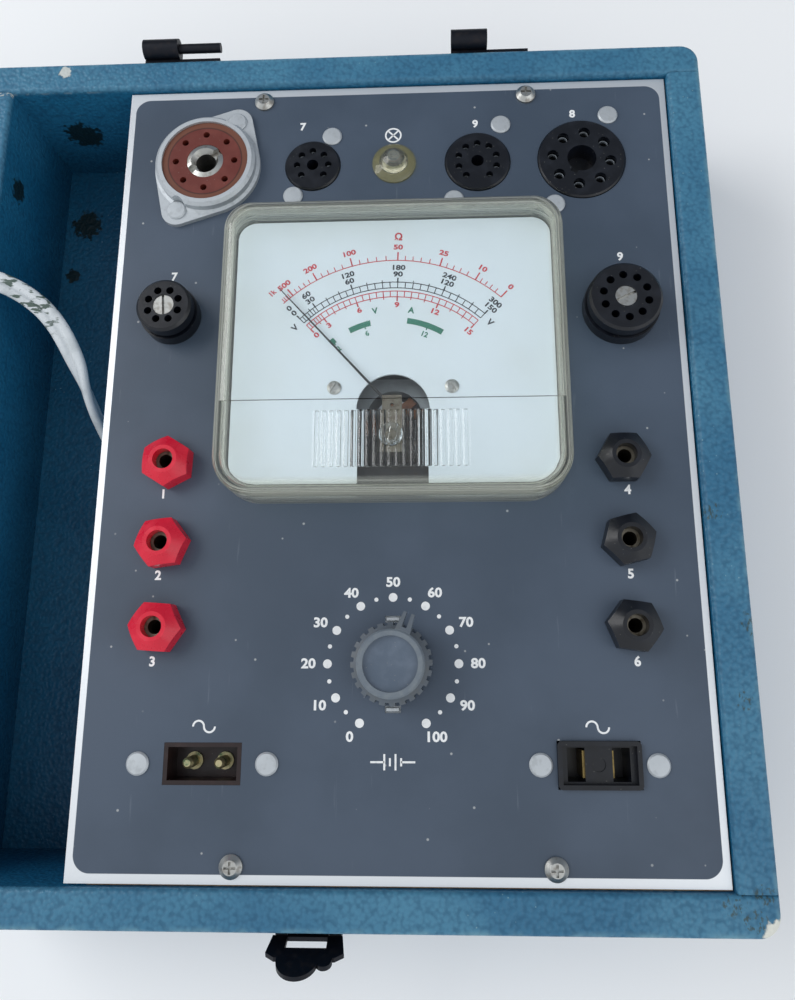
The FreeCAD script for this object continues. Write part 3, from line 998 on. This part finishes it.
def biarc(start, leave, end, arrive):
    """Two arcs that join two points along the given directions."""
    gap = end - start
    both = leave + arrive
    spread = 2 * (1 - leave.dot(arrive))
    reach = (math.sqrt(gap.dot(both) ** 2 + spread * gap.dot(gap)) - gap.dot(both)) / spread
    joint = (start + end + (leave - arrive) * reach) * 0.5

    def arc(first, heading, last):
        chord = last - first
        sagitta = (heading * chord.Length - chord * heading.dot(chord / chord.Length)).normalize()
        half = chord.getAngle(heading)
        return Part.Arc(first, first + chord * 0.5 + sagitta * (chord.Length / 2 * math.tan(half / 2)),
                        last).toShape()

    return [arc(start, leave, joint), arc(end, arrive * -1, joint)]


def tube(wire):
    """A round tube along a wire."""
    first = wire.OrderedEdges[0]
    heading = first.tangentAt(first.FirstParameter)
    section = Part.Wire([Part.Circle(first.valueAt(first.FirstParameter), heading, CORD / 2).toShape()])
    pipe = Part.BRepOffsetAPI.MakePipeShell(wire)
    pipe.add(section)
    pipe.build()
    pipe.makeSolid()
    return pipe.shape()


def solid_node(shape, label):
    node = doc.addObject("Part::Feature", label)
    node.Shape = shape
    return keep(node, label)


run_wire, run_radii = rounded_route(ROUTE)
solid_node(tube(run_wire), "line_cord_run")
print("cord radii", [round(radius, 1) for radius in run_radii])

HALF_TURNS = 6
run_end = FreeCAD.Vector(*ROUTE[-1])
heading = (run_end - FreeCAD.Vector(*ROUTE[-2])).normalize()
coil_start = run_end + heading * CORD
inward = FreeCAD.Vector(heading.y, -heading.x, 0)
coil_middle = coil_start + inward * size_of("coil_outer")
step_in = size_of("coil_pitch") / 2
radii_down = [size_of("coil_outer") - step_in * index for index in range(HALF_TURNS + 1)]
stations = []
for index, radius in enumerate(radii_down + radii_down[::-1]):
    side = -1 if index % 2 == 0 else 1
    layer = 0 if index <= HALF_TURNS else size_of("layer_pitch")
    stations.append((coil_middle + inward * (side * radius) + FreeCAD.Vector(0, 0, layer), heading * -side))
coil_edges = [Part.LineSegment(run_end, coil_start).toShape()]
for (start, leave), (end, arrive) in zip(stations, stations[1:]):
    coil_edges += biarc(start, leave, end, arrive)
coil_end, plug_heading = stations[-1]
plug_foot = coil_end + plug_heading * size_of("plug_tail")
coil_edges.append(Part.LineSegment(coil_end, plug_foot).toShape())
coil_wire = Part.Wire(Part.__sortEdges__(coil_edges))
solid_node(tube(coil_wire), "line_cord_coil")
trail = coil_wire.discretize(Distance=3.0)
apart = int(CORD * math.pi / 3.0) + 4
least = min((a - b).Length for index, a in enumerate(trail) for b in trail[index + apart:]) - CORD
print("cord length", round(run_wire.Length + coil_wire.Length, 1), "least gap between turns", round(least, 2))

# Connector for the line inlet, on edge on the compartment floor, and a two-blade plug.
connector = Piece("line_cord_connector")
TALL = "connector_wide / 2"
connector.pad(connector.outlines([[("-connector_long", f"-{TALL}"), ("-12", f"-{TALL}"),
                                   ("0", "-cord_width * 0.7"), ("0", "cord_width * 0.7"), ("-12", TALL),
                                   ("-connector_long", TALL)]], "YZ_Plane", "-connector_thick / 2"),
              "connector_thick")
connector.pocket(connector.discs([("0", f"{sign}inlet_pitch / 2", "inlet_pin + hole_gap") for sign in "-+"],
                                 "XZ_Plane", "connector_long"), "inlet_well")
connector.soften("1.5", lambda edge: abs(edge.Vertexes[0].X - edge.Vertexes[-1].X) < 1e-6
                 and len(edge.Vertexes) == 2 and abs(edge.Vertexes[0].Y - edge.Vertexes[1].Y) > 15)
connector.body.Placement.Base = FreeCAD.Vector(*ROUTE[0])
keep(connector.body, "line_cord_connector")

plug = Piece("line_cord_plug")
HIGH = "(cord_width / 2 + layer_pitch)"
plug.pad(plug.outlines([[("0", "-cord_width * 0.7"), ("plug_long * 0.5", f"-{HIGH}"),
                         ("plug_long", f"-{HIGH}"), ("plug_long", HIGH), ("plug_long * 0.5", HIGH),
                         ("0", "cord_width * 0.7")]], "XZ_Plane", "-cord_width"), "2 * cord_width")
for sign in "-+":
    plug.pad(plug.outlines([corners_of("blade_wide", "blade_thick", "0", f"{sign}blade_pitch / 2")],
                           "YZ_Plane", "plug_long"), "blade_long")
plug.body.Placement = FreeCAD.Placement(plug_foot, FreeCAD.Rotation(FreeCAD.Vector(1, 0, 0), plug_heading))
keep(plug.body, "line_cord_plug")


# Writing the parts
def finish():
    """Stop on any failed object, then write one file for each sub-part."""
    doc.recompute()
    for item in doc.Objects:
        if "Invalid" in item.State or "Error" in item.State:
            raise RuntimeError(f"{item.Name} ({item.Label}) failed: {item.State}")
    os.makedirs("parts", exist_ok=True)
    for node in NODES:
        if node.Shape.isNull() or not node.Shape.isValid():
            raise RuntimeError(f"{node.Label} has no valid shape")
        node.Shape.exportStep(f"parts/{node.Label}.step")


finish()
